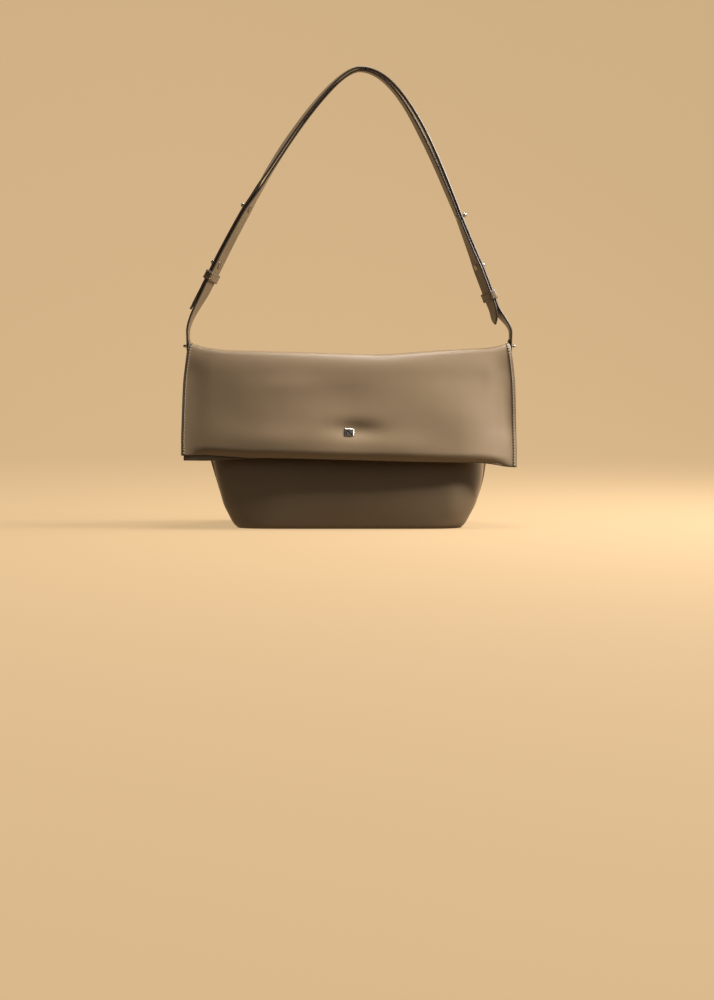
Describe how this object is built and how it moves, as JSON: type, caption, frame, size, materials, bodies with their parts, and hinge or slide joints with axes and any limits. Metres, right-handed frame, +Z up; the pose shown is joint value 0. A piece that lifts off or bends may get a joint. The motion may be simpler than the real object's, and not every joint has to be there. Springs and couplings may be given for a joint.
{
  "type": "fold-over shoulder bag",
  "caption": "Slouchy leather shoulder bag: a pouch on a boxed base whose top folds over as a flap, under an adjustable two-layer strap held by ball studs.",
  "frame": {"origin": "middle of the base's underside, on the surface that the bag stands on", "axes": "+Z up, the longest extent; -Y to the front, where the flap hangs; +X to the viewer's right"},
  "size_m": [0.3496, 0.1015, 0.4703],
  "materials": {
    "body_leather": "satin smooth leather, taupe",
    "strap_leather": "satin smooth leather with dark painted edges",
    "lining": "matte woven lining",
    "board": "matte stiff board",
    "metal": "satin nickel"
  },
  "bodies": {
    "pouch": {"back_panel": "body_leather", "front_panel": "body_leather", "base_panel": "body_leather", "base_board": "board", "base_lining": "lining", "back_lining": "lining", "front_lining": "lining", "fold_outer": "body_leather", "fold_inner": "body_leather", "fold_lining": "lining", "snap_socket": "metal", "snap_socket_washer": "metal", "side_tab_left": "body_leather", "side_tab_right": "body_leather", "anchor_stud_left": "metal", "anchor_stud_right": "metal", "anchor_screws": "metal"},
    "flap": {"flap_outer": "body_leather", "flap_inner": "body_leather", "flap_lining": "lining", "badge_plate": "metal", "badge_washer": "metal", "snap_stud": "metal", "snap_stud_washer": "metal"},
    "strap": {"strap_inner": "strap_leather", "strap_outer": "strap_leather", "strap_stud_left_lower": "metal", "strap_stud_left_upper": "metal", "strap_stud_right_lower": "metal", "strap_stud_right_upper": "metal", "strap_screws": "metal"},
    "left_keeper": {"keeper_left": "body_leather"},
    "right_keeper": {"keeper_right": "body_leather"}
  },
  "joints": [
    {"name": "flap_fold", "type": "hinge", "parent": "pouch", "child": "flap", "pos_m": [0, 0, 0.166], "axis": [-1, 0, 0], "range_deg": [0, 125], "deforming": ["fold_outer", "fold_inner", "fold_lining"]},
    {"name": "strap_swing", "type": "hinge", "parent": "pouch", "child": "strap", "pos_m": [0, 0.0075, 0.1855], "axis": [-1, 0, 0], "range_deg": [0, 108]},
    {"name": "left_keeper_slide", "type": "slide", "parent": "strap", "child": "left_keeper", "axis": [0.454, 0, 0.891], "range_m": [-0.008, 0.005]},
    {"name": "right_keeper_slide", "type": "slide", "parent": "strap", "child": "right_keeper", "axis": [-0.3633, 0, 0.9317], "range_m": [-0.004, 0.02]}
  ]
}
